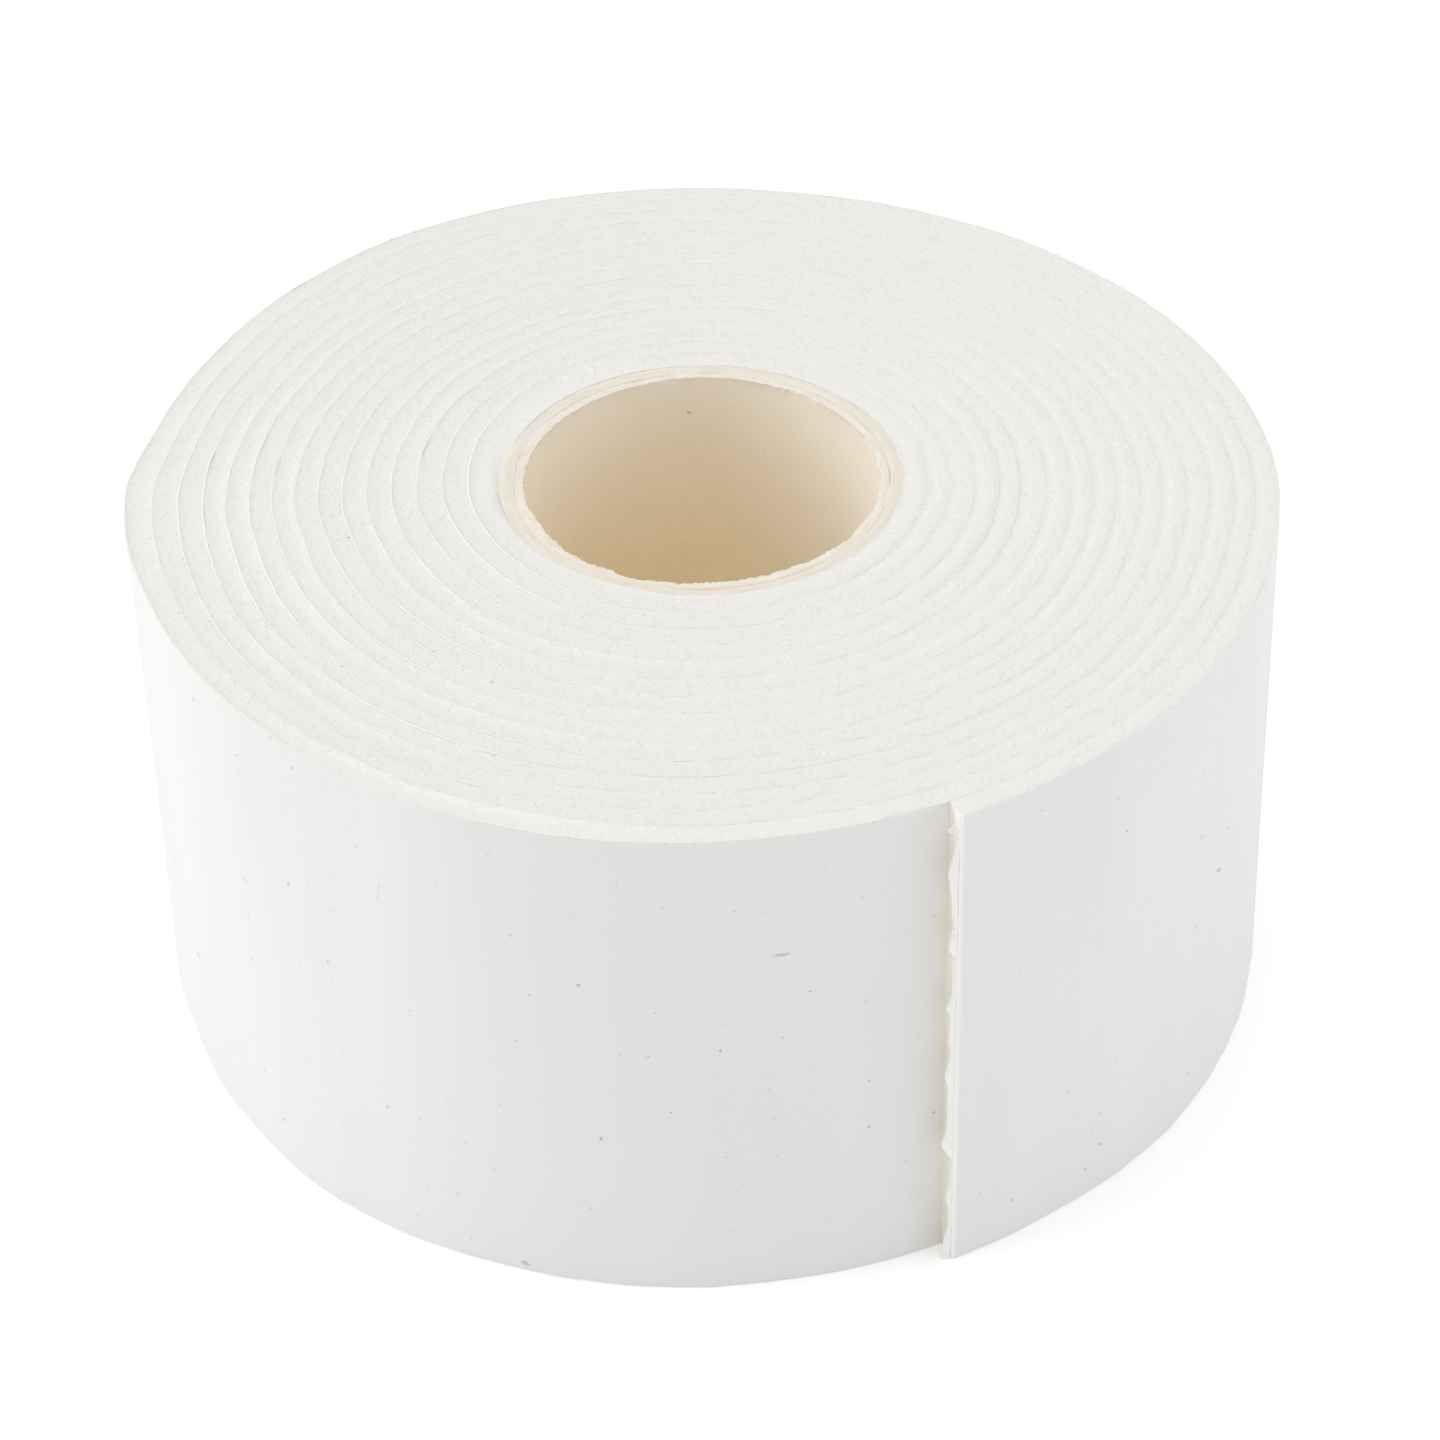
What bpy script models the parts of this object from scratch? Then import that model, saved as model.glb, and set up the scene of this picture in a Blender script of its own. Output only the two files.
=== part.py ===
"""Grip tape roll: a foam strip with an adhesive face and a release liner,
wound liner side out on a paper core, with a free tail that peels off the roll.

Metres, +Z up.  The roll stands on one flat end, its axis along +Z, with the
origin at the centre of its footprint.  The free tail lies on the outermost
turn on the -Y, +X side and its cut end faces clockwise seen from above.
"""
import math

import bpy
import bmesh
from mathutils import Vector

# ----------------------------------------------------------------- dimensions
WIDTH = 0.0381                 # width of the tape, which is the roll's height
ROLL_RADIUS = 0.0395           # winding's outer surface at the free end
CORE_BORE_RADIUS = 0.01220     # inside of the paper core
CORE_INNER_PLY = 0.00060       # wall of the inner paper ply
CORE_PLY_GAP = 0.00010         # between the two plies
CORE_OUTER_PLY = 0.00085       # wall of the outer paper ply
CORE_HEIGHT = 0.0378
PITCH = 0.001552               # one turn's radial build: foam, adhesive, liner
TURNS = 15.0 + 174.0 / 360.0    # from the start on the core to the free end
SETTLING = (5.0, 3.6, 2.6, 1.9, 1.45, 1.2)  # how late in its turn each of the
                               # first turns climbs over the strip's thick start
CORE_OFFSET = 0.00140          # the core sits off the winding's outer centre
CORE_OFFSET_ANGLE = math.radians(78.0)
LOBE = 0.0056                  # three-lobed out-of-round of the outer turns
LOBE_PHASE = math.radians(26.0) / 3.0

# shares of one pitch, from the layer's inner side (0) to its outer side (1)
FOAM_IN, FOAM_OUT = 0.035, 0.835
GLUE_IN, GLUE_OUT = 0.855, 0.890
LINER_IN, LINER_OUT = 0.915, 0.985
FOAM_RECESS = 0.00012          # foam stands this much lower than the liner edge

# tail, as angles back from the liner's free end along the strip
TAIL_END_ANGLE = math.radians(-66.0)   # where the liner's cut edge stands
LINK_ARC = math.radians(12.0)
LINKS = 5
LAST_LINK_ARC = math.radians(24.0)
TAB_ARC = math.radians(10.0)           # each of the two liner tab pieces
FOAM_OVERHANG = math.radians(1.0)      # foam runs on past the liner's cut edge
JOINT_GAP = math.radians(0.22)         # half of the gap at each hinge line

FACETS = 40                    # facets in one turn of the winding
STEP = 2.0 * math.pi / FACETS
TAIL_STEP = math.radians(2.0)
CORE_FACETS = 72

TOTAL = TURNS * 2.0 * math.pi
TAIL_ARC = LINK_ARC * (LINKS - 1) + LAST_LINK_ARC
CORE_OUTER_RADIUS = (CORE_BORE_RADIUS + CORE_INNER_PLY + CORE_PLY_GAP
                     + CORE_OUTER_PLY)
FIRST_RADIUS = ROLL_RADIUS - PITCH * (TURNS + 1.0)


# ------------------------------------------------------------------ the spiral
def heading(back):
    """Polar angle of a point that lies `back` radians along the strip from
    the free end: the strip runs counter-clockwise into the roll."""
    return TAIL_END_ANGLE + back


def outer_build(wound):
    """Outer side of the layer, in pitches above the first radius, after
    `wound` radians of winding.  The first turns lie close on the core and
    climb over the strip's start at their end; later turns even this out."""
    turn = int(math.floor(wound / (2.0 * math.pi)))
    part = wound / (2.0 * math.pi) - turn
    power = SETTLING[turn] if turn < len(SETTLING) else 1.0
    return turn + 1.0 + part ** power


def inner_build(wound):
    """Inner side of the layer: the turn below it, or one pitch below its
    outer side in the first turn, which leaves a wedge beside the start."""
    if wound < 2.0 * math.pi:
        return outer_build(wound) - 1.0
    return outer_build(wound - 2.0 * math.pi)


def spiral(back, share):
    """Point of the winding in plan: `back` radians from the free end and
    `share` of the layer from its inner side to its outer side."""
    wound = max(TOTAL - back, 0.0)
    inner, outer = inner_build(wound), outer_build(wound)
    radius = FIRST_RADIUS + PITCH * (inner + share * (outer - inner))
    inward = (ROLL_RADIUS - radius) / (ROLL_RADIUS - FIRST_RADIUS)
    inward = min(max(inward, 0.0), 1.0)
    theta = heading(back)
    radius *= 1.0 + LOBE * (1.0 - inward) * math.cos(3.0 * (theta - LOBE_PHASE))
    cx = CORE_OFFSET * inward * math.cos(CORE_OFFSET_ANGLE)
    cy = CORE_OFFSET * inward * math.sin(CORE_OFFSET_ANGLE)
    return cx + radius * math.cos(theta), cy + radius * math.sin(theta)


def footprint_centre():
    """Centre of the outermost turn's bounding rectangle."""
    points = [spiral(math.radians(a * 0.25), LINER_OUT) for a in range(1440)]
    xs = [p[0] for p in points]
    ys = [p[1] for p in points]
    return 0.5 * (min(xs) + max(xs)), 0.5 * (min(ys) + max(ys))


CENTRE = footprint_centre()


def place(point, z):
    return Vector((point[0] - CENTRE[0], point[1] - CENTRE[1], z))


def core_axis():
    return (CORE_OFFSET * math.cos(CORE_OFFSET_ANGLE) - CENTRE[0],
            CORE_OFFSET * math.sin(CORE_OFFSET_ANGLE) - CENTRE[1])


def stations(start, end, step):
    """Distances along the strip from start to end, with the two ends exact
    and every other one on a polar grid shared by all the turns."""
    result = [start]
    first = math.ceil((heading(start) + 1e-6) / step)
    k = first
    while True:
        back = k * step - TAIL_END_ANGLE
        if back >= end - 1e-6:
            break
        if back - start > 0.15 * step:
            result.append(back)
        k += 1
    if len(result) > 1 and end - result[-1] < 0.15 * step:
        result.pop()
    result.append(end)
    return result


# ------------------------------------------------------------------- materials
def material(name, colour, roughness):
    mat = bpy.data.materials.new(name)
    mat.use_nodes = True
    shader = mat.node_tree.nodes["Principled BSDF"]
    shader.inputs["Base Color"].default_value = (*colour, 1.0)
    shader.inputs["Roughness"].default_value = roughness
    shader.inputs["Metallic"].default_value = 0.0
    mat.diffuse_color = (*colour, 1.0)
    return mat


# -------------------------------------------------------------------- builders
def finish(name, mesh_bm, mat, pivot=None, smooth=35.0):
    bmesh.ops.recalc_face_normals(mesh_bm, faces=mesh_bm.faces)
    mesh = bpy.data.meshes.new(name)
    if pivot is not None:
        bmesh.ops.translate(mesh_bm, verts=mesh_bm.verts, vec=-pivot)
    mesh_bm.to_mesh(mesh)
    mesh_bm.free()
    obj = bpy.data.objects.new(name, mesh)
    if pivot is not None:
        obj.location = pivot
    bpy.context.scene.collection.objects.link(obj)
    mesh.materials.append(mat)
    mesh.shade_smooth()
    mesh.set_sharp_from_angle(angle=math.radians(smooth))
    return obj


def strip(name, start, end, share_in, share_out, bottom, top, step, mat,
          pivot=None):
    """A stretch of one layer of the winding as a closed solid: a rectangle
    across the layer carried along the spiral."""
    bm = bmesh.new()
    rings = []
    for back in stations(start, end, step):
        inner, outer = spiral(back, share_in), spiral(back, share_out)
        rings.append([bm.verts.new(place(inner, bottom)),
                      bm.verts.new(place(outer, bottom)),
                      bm.verts.new(place(outer, top)),
                      bm.verts.new(place(inner, top))])
    for a, b in zip(rings, rings[1:]):
        for i in range(4):
            j = (i + 1) % 4
            bm.faces.new((a[i], a[j], b[j], b[i]))
    bm.faces.new(list(reversed(rings[0])))
    bm.faces.new(rings[-1])
    return finish(name, bm, mat, pivot)


def tube(name, centre, inner, outer, bottom, top, mat, chamfer=0.0):
    """A turned ring with small chamfers on its rims."""
    c = chamfer
    profile = [(inner + c, bottom), (outer - c, bottom), (outer, bottom + c),
               (outer, top - c), (outer - c, top), (inner + c, top),
               (inner, top - c), (inner, bottom + c)]
    bm = bmesh.new()
    rings = []
    for k in range(CORE_FACETS):
        a = 2.0 * math.pi * k / CORE_FACETS
        rings.append([bm.verts.new((centre[0] + r * math.cos(a),
                                    centre[1] + r * math.sin(a), z))
                      for r, z in profile])
    n = len(profile)
    for k in range(CORE_FACETS):
        a, b = rings[k], rings[(k + 1) % CORE_FACETS]
        for i in range(n):
            j = (i + 1) % n
            bm.faces.new((a[i], b[i], b[j], a[j]))
    return finish(name, bm, mat)


def arc_pad(name, centre, inner, outer, angle, span, bottom, top, mat,
            pieces=8):
    """A thin pad curved round the core."""
    bm = bmesh.new()
    rings = []
    for k in range(pieces + 1):
        a = angle + span * (k / pieces - 0.5)
        rings.append([bm.verts.new((centre[0] + r * math.cos(a),
                                    centre[1] + r * math.sin(a), z))
                      for r, z in ((inner, bottom), (outer, bottom),
                                   (outer, top), (inner, top))])
    for a, b in zip(rings, rings[1:]):
        for i in range(4):
            j = (i + 1) % 4
            bm.faces.new((a[i], a[j], b[j], b[i]))
    bm.faces.new(list(reversed(rings[0])))
    bm.faces.new(rings[-1])
    return finish(name, bm, mat)


# ------------------------------------------------------------- hinges and links
def link_span(index):
    """Start and end of link `index` (1 is next to the roll, LINKS is the
    free end), as distances along the strip from the free end."""
    if index == LINKS:
        return 0.0, LAST_LINK_ARC
    near = LAST_LINK_ARC + LINK_ARC * (LINKS - 1 - index)
    return near, near + LINK_ARC


def hinge_point(back):
    """A hinge line stands on the liner's outer side."""
    return place(spiral(back, LINER_OUT), WIDTH / 2.0)


def main():
    for obj in list(bpy.data.objects):
        bpy.data.objects.remove(obj, do_unlink=True)

    foam = material("foam", (0.80, 0.79, 0.77), 0.90)
    liner = material("liner", (0.83, 0.83, 0.84), 0.42)
    glue = material("adhesive", (0.78, 0.77, 0.72), 0.25)
    paper = material("core_paper", (0.68, 0.54, 0.38), 0.85)
    cream = material("core_facing", (0.74, 0.62, 0.46), 0.85)

    # ---- paper core, two plies, and the pad that tacks the strip to it
    centre = core_axis()
    rim = 0.5 * (WIDTH - CORE_HEIGHT)
    radius = CORE_BORE_RADIUS
    tube("core_inner_ply", centre, radius, radius + CORE_INNER_PLY,
         rim, WIDTH - rim, cream, 0.00012)
    radius += CORE_INNER_PLY + CORE_PLY_GAP
    tube("core_outer_ply", centre, radius, radius + CORE_OUTER_PLY,
         rim, WIDTH - rim, paper, 0.00012)
    arc_pad("core_tack_pad", centre, CORE_OUTER_RADIUS + 0.00004,
            CORE_OUTER_RADIUS + 0.00012, heading(TOTAL) - math.radians(24.0),
            math.radians(40.0), 0.004, WIDTH - 0.004, glue)

    # ---- the wound part of the strip, up to the first hinge of the tail
    top_foam = WIDTH - FOAM_RECESS
    wound = TAIL_ARC + JOINT_GAP
    strip("foam_winding", wound, TOTAL, FOAM_IN, FOAM_OUT, 0.0, top_foam,
          STEP, foam)
    strip("liner_winding", wound, TOTAL, LINER_IN, LINER_OUT, 0.0, WIDTH,
          STEP, liner)

    # ---- the tail, in links that hinge on the liner's outer side
    for index in range(1, LINKS + 1):
        near, far = link_span(index)
        pivot = hinge_point(far)
        foam_near = near + JOINT_GAP
        liner_near = near + JOINT_GAP
        if index == LINKS:
            foam_near = near - FOAM_OVERHANG
            liner_near = near + 2.0 * TAB_ARC + JOINT_GAP
        strip("tail_foam_%d" % index, foam_near, far - JOINT_GAP, FOAM_IN,
              FOAM_OUT, 0.0, top_foam, TAIL_STEP, foam, pivot)
        strip("tail_liner_%d" % index, liner_near, far - JOINT_GAP, LINER_IN,
              LINER_OUT, 0.0, WIDTH, TAIL_STEP, liner, pivot)

    # ---- the bare adhesive under the liner's tab
    strip("tail_adhesive", 0.0, 2.0 * TAB_ARC, GLUE_IN, GLUE_OUT, 0.0006,
          top_foam - 0.0006, TAIL_STEP, glue,
          hinge_point(link_span(LINKS)[1]))

    # ---- the liner's tab, which lifts off the adhesive at the free end
    strip("liner_tab_root", TAB_ARC + JOINT_GAP, 2.0 * TAB_ARC - JOINT_GAP,
          LINER_IN, LINER_OUT, 0.0, WIDTH, TAIL_STEP, liner,
          hinge_point(2.0 * TAB_ARC))
    strip("liner_tab_tip", 0.0, TAB_ARC - JOINT_GAP, LINER_IN, LINER_OUT,
          0.0, WIDTH, TAIL_STEP, liner, hinge_point(TAB_ARC))


main()
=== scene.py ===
"""Looks for the grip tape roll: a foam tape with a satin release liner, wound
on a paper core, standing on its flat end, with its free tail at the front."""
import math

import bpy
import numpy as np
from mathutils import Matrix, Vector


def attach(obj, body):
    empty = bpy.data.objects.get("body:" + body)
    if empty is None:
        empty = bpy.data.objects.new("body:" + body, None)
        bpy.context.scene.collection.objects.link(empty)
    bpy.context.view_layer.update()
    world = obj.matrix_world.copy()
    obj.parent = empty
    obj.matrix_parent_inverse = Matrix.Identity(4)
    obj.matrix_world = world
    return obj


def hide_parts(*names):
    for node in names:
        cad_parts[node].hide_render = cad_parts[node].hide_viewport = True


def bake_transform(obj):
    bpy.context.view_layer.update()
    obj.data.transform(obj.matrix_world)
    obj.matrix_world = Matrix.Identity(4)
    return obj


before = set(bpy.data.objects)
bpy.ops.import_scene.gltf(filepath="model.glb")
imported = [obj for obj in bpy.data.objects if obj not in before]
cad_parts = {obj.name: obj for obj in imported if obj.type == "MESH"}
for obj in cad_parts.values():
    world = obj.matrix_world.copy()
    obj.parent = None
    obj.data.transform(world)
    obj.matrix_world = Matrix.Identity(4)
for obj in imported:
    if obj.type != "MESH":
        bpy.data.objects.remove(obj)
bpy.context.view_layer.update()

# --------------------------------------------------------------- the winding
# The same spiral as the part's: every visible piece of tape is laid along it.
WIDTH = 0.0381
ROLL_RADIUS = 0.0395
CORE_BORE_RADIUS = 0.01220
CORE_OUTER_RADIUS = 0.01375
PITCH = 0.001552
TURNS = 15.0 + 174.0 / 360.0
CORE_OFFSET = 0.00140
CORE_OFFSET_ANGLE = math.radians(78.0)
LOBE = 0.0056
LOBE_PHASE = math.radians(26.0) / 3.0
SETTLING = np.array([5.0, 3.6, 2.6, 1.9, 1.45, 1.2] + [1.0] * 30)
TAIL_END_ANGLE = math.radians(-66.0)
TAU = 2.0 * math.pi
TOTAL = TURNS * TAU
FIRST_RADIUS = ROLL_RADIUS - PITCH * (TURNS + 1.0)
RAD = math.radians

FOAM_IN, FOAM_OUT = -0.017, 0.910
GLUE_IN, GLUE_OUT = 0.878, 0.910
LINER_IN, LINER_OUT = 0.908, 0.985


def outer_build(wound):
    turn = np.floor(wound / TAU).astype(int)
    part = np.clip(wound / TAU - turn, 0.0, 1.0)
    return turn + 1.0 + part ** SETTLING[np.clip(turn, 0, 30)]


def plan_raw(back, share):
    wound = np.maximum(TOTAL - back, 0.0)
    outer = outer_build(wound)
    inner = np.where(wound < TAU, outer - 1.0,
                     outer_build(np.maximum(wound - TAU, 0.0)))
    across = inner + share * (outer - inner)
    # the soft foam of the first turn swells into the wedge beside the core
    swollen = -0.16 + (share - FOAM_IN) / (0.5 - FOAM_IN) * (outer - 0.34)
    across = np.where((wound < TAU) & (share < 0.5), swollen, across)
    radius = FIRST_RADIUS + PITCH * across
    inward = np.clip((ROLL_RADIUS - radius) / (ROLL_RADIUS - FIRST_RADIUS), 0, 1)
    theta = TAIL_END_ANGLE + back
    radius = radius * (1.0 + LOBE * (1.0 - inward)
                       * np.cos(3.0 * (theta - LOBE_PHASE)))
    return (CORE_OFFSET * inward * math.cos(CORE_OFFSET_ANGLE)
            + radius * np.cos(theta),
            CORE_OFFSET * inward * math.sin(CORE_OFFSET_ANGLE)
            + radius * np.sin(theta))


_a = np.radians(np.arange(1440) * 0.25)
_x, _y = plan_raw(_a, np.full(1440, 0.985))
CENTRE = (0.5 * (_x.min() + _x.max()), 0.5 * (_y.min() + _y.max()))
CORE_AXIS = (CORE_OFFSET * math.cos(CORE_OFFSET_ANGLE) - CENTRE[0],
             CORE_OFFSET * math.sin(CORE_OFFSET_ANGLE) - CENTRE[1])

# length along the strip, from the start on the core, for material coordinates
_b = np.linspace(-0.1, TOTAL, 20000)
_x, _y = plan_raw(_b, np.full(20000, 0.5))
_s = np.concatenate([[0.0], np.cumsum(np.hypot(np.diff(_x), np.diff(_y)))])


def along(back):
    return np.interp(back, _b, _s)


# --------------------------------------------------------------------- noise
def _hash(ix, iy, iz, seed):
    n = (ix.astype(np.int64) * 374761393 + iy.astype(np.int64) * 668265263
         + iz.astype(np.int64) * 1274126177 + seed * 974711) & 0xFFFFFFFF
    n = ((n ^ (n >> 13)) * 1274126177) & 0xFFFFFFFF
    n = ((n ^ (n >> 16)) * 2246822519) & 0xFFFFFFFF
    return ((n ^ (n >> 15)) & 0xFFFF) / 32767.5 - 1.0


def noise3(x, y, z, seed=0):
    """Smooth value noise in -1..1."""
    x, y, z = np.broadcast_arrays(np.asarray(x, float), np.asarray(y, float),
                                  np.asarray(z, float))
    ix, iy, iz = np.floor(x), np.floor(y), np.floor(z)
    fx, fy, fz = x - ix, y - iy, z - iz
    fx, fy, fz = [f * f * f * (f * (f * 6 - 15) + 10) for f in (fx, fy, fz)]
    total = 0.0
    for dx in (0, 1):
        for dy in (0, 1):
            for dz in (0, 1):
                w = ((fx if dx else 1 - fx) * (fy if dy else 1 - fy)
                     * (fz if dz else 1 - fz))
                total = total + w * _hash(ix + dx, iy + dy, iz + dz, seed)
    return total


def fbm(x, y, z, seed=0, octaves=3):
    total, amp = 0.0, 1.0
    for o in range(octaves):
        total = total + amp * noise3(x * 2 ** o, y * 2 ** o, z * 2 ** o, seed + 17 * o)
        amp *= 0.5
    return total / 1.75


def bump(x, centre, half):
    """A smooth hump: 1 at centre, 0 beyond half on each side (radians)."""
    d = np.abs((x - centre + math.pi) % TAU - math.pi) / half
    return np.where(d < 1, (1 - np.clip(d, 0, 1) ** 2) ** 2, 0.0)


def smooth(x, a, b):
    t = np.clip((x - a) / (b - a), 0.0, 1.0)
    return t * t * (3 - 2 * t)


# ------------------------------------------------ how the real strip wanders
BULGE = 0.00058


def plan(back, share):
    """Plan position of the strip with its small unevenness."""
    x, y = plan_raw(back, share)
    k = 1.0 / 0.0075
    r = np.hypot(x, y)
    theta = np.arctan2(y, x)
    out = 1.0 + (BULGE * smooth(r, 0.0335, 0.0385) * bump(theta, RAD(182.5), RAD(15.5))
                 + smooth(r, 0.024, 0.0385) * (0.00024 * bump(theta, RAD(118), RAD(40))
                                               - 0.00024 * bump(theta, RAD(157), RAD(24)))) / np.maximum(r, 0.01)
    x, y = x * out, y * out
    dx = (0.00011 * noise3(x * k, y * k, 3.1, 5) + 0.000040 * noise3(x * 600, y * 600, 1.0, 6)
          + 0.000022 * noise3(x * 1150, y * 1150, 1.5, 9))
    dy = (0.00011 * noise3(x * k, y * k, 9.7, 7) + 0.000040 * noise3(x * 600, y * 600, 2.0, 8)
          + 0.000022 * noise3(x * 1150, y * 1150, 2.5, 10))
    calm = smooth(r, 0.0138, 0.0175)
    return x + calm * dx - CENTRE[0], y + calm * dy - CENTRE[1]


def skin_offset(back, z):
    """How far the outermost turn's skin waves out, at a point of the strip."""
    s = along(back)
    waves = (0.00004 * noise3(s * 70, z * 25, 0.0, 51)
             + 0.000016 * noise3(s * 260, z * 60, 0.0, 52))
    stand = 0.00012 * bump(TAIL_END_ANGLE + back, RAD(176), RAD(9)) * smooth(z, 0.010, 0.030)
    fade = ((0.6 + 0.4 * smooth(back, RAD(72), RAD(86))) * smooth(back, 0.0, RAD(8))
            * (1.0 - smooth(back, RAD(357), RAD(366))))
    curl = 0.00008 * smooth(back, RAD(2.9), RAD(0.2))
    theta = TAIL_END_ANGLE + back
    low = 1.0 - np.clip(z / WIDTH, 0, 1)
    outermost = 1.0 - smooth(back, RAD(357), RAD(366))
    sway = low * outermost * (-0.00042 * bump(theta, RAD(186), RAD(48)) + 0.00026 * bump(theta, RAD(236), RAD(46))
                              + 0.00013 * bump(theta, RAD(-18), RAD(46)))
    return (waves + stand) * fade + curl + sway


def seam_strength(theta):
    """Liner edges stand up on the left, less on the back, and close up at the
    front, where the cut has pressed the turns together."""
    s = (0.04 + 0.95 * bump(theta, RAD(201), RAD(74))
         + 0.15 * bump(theta, RAD(258), RAD(46))
         + 0.26 * bump(theta, RAD(118), RAD(66))
         + 0.06 * bump(theta, RAD(30), RAD(70)))
    return np.clip(s, 0.0, 1.1)


def shoulder_strength(theta):
    """The foam swells up beside each seam, most on the left and the back."""
    return (0.04 + 0.90 * bump(theta, RAD(188), RAD(74)) + 0.72 * bump(theta, RAD(254), RAD(60))
            + 0.62 * bump(theta, RAD(122), RAD(72)) + 0.24 * bump(theta, RAD(40), RAD(70)))


def groove_strength(theta):
    """On the right the turns part in shallow grooves instead."""
    return 0.10 + 0.75 * bump(theta, RAD(-18), RAD(72))


# -------------------------------------------------------------- mesh builders
def make_object(name, verts, faces, strip_co=None, angle=42.0, marks=None):
    mesh = bpy.data.meshes.new(name)
    verts = np.asarray(verts, np.float32)
    faces = np.asarray(faces, np.int32)
    mesh.vertices.add(len(verts))
    mesh.vertices.foreach_set("co", verts.ravel())
    mesh.loops.add(faces.size)
    mesh.loops.foreach_set("vertex_index", faces.ravel())
    mesh.polygons.add(len(faces))
    mesh.polygons.foreach_set("loop_start",
                              np.arange(0, faces.size, faces.shape[1], dtype=np.int32))
    mesh.update(calc_edges=True)
    mesh.validate()
    if strip_co is not None:
        attribute = mesh.attributes.new("strip", "FLOAT_VECTOR", "POINT")
        attribute.data.foreach_set("vector", np.asarray(strip_co, np.float32).ravel())
    if marks is not None:
        attribute = mesh.attributes.new("marks", "FLOAT_VECTOR", "POINT")
        attribute.data.foreach_set("vector", np.asarray(marks, np.float32).ravel())
    mesh.shade_smooth()
    mesh.set_sharp_from_angle(angle=math.radians(angle))
    obj = bpy.data.objects.new(name, mesh)
    bpy.context.scene.collection.objects.link(obj)
    return obj


def box_grid(name, us, vs, ws, place, angle=42.0):
    """Closed skin of a lattice: us along, vs across, ws up. place(u, v, w)
    returns positions (n, 3) and material coordinates (n, 3)."""
    nu, nv, nw = len(us), len(vs), len(ws)
    mask = np.zeros((nu, nv, nw), bool)
    mask[0], mask[-1] = True, True
    mask[:, 0], mask[:, -1] = True, True
    mask[:, :, 0], mask[:, :, -1] = True, True
    index = np.full((nu, nv, nw), -1, np.int64)
    index[mask] = np.arange(mask.sum())
    iu, iv, iw = np.nonzero(mask)
    pos, co, marks = place(np.asarray(us)[iu], np.asarray(vs)[iv], np.asarray(ws)[iw])

    def quads(a, flip):
        q = np.stack([a[:-1, :-1], a[1:, :-1], a[1:, 1:], a[:-1, 1:]], -1).reshape(-1, 4)
        return q[:, ::-1] if flip else q

    # u runs counter-clockwise, v outwards, w up
    faces = np.concatenate([
        quads(index[:, :, -1], True), quads(index[:, :, 0], False),
        quads(index[:, 0, :], True), quads(index[:, -1, :], False),
        quads(index[0], True), quads(index[-1], False)])
    obj = make_object(name, pos, faces, co, angle, marks)
    flip_if_inside_out(obj)
    return obj


def flip_if_inside_out(obj):
    mesh = obj.data
    co = np.zeros(len(mesh.vertices) * 3)
    mesh.vertices.foreach_get("co", co)
    co = co.reshape(-1, 3)
    mesh.calc_loop_triangles()
    tri = np.zeros(len(mesh.loop_triangles) * 3, np.int32)
    mesh.loop_triangles.foreach_get("vertices", tri)
    a, b, c = (co[tri.reshape(-1, 3)[:, i]] for i in range(3))
    if np.einsum("ij,ij->i", a, np.cross(b, c)).sum() < 0:
        mesh.flip_normals()


def ring_grid(name, nu, profile_count, place, angle=50.0):
    """Closed turned skin: place(angle array, profile index array)."""
    iu, ip = np.meshgrid(np.arange(nu), np.arange(profile_count), indexing="ij")
    pos, marks = place(iu.ravel() * TAU / nu, ip.ravel())
    index = np.arange(nu * profile_count).reshape(nu, profile_count)
    nxt = np.roll(index, -1, 0)
    a, b = index, nxt
    c, d = np.roll(nxt, -1, 1), np.roll(index, -1, 1)
    faces = np.stack([a, b, c, d], -1).reshape(-1, 4)
    obj = make_object(name, pos, faces, None, angle, marks)
    flip_if_inside_out(obj)
    return obj


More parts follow.
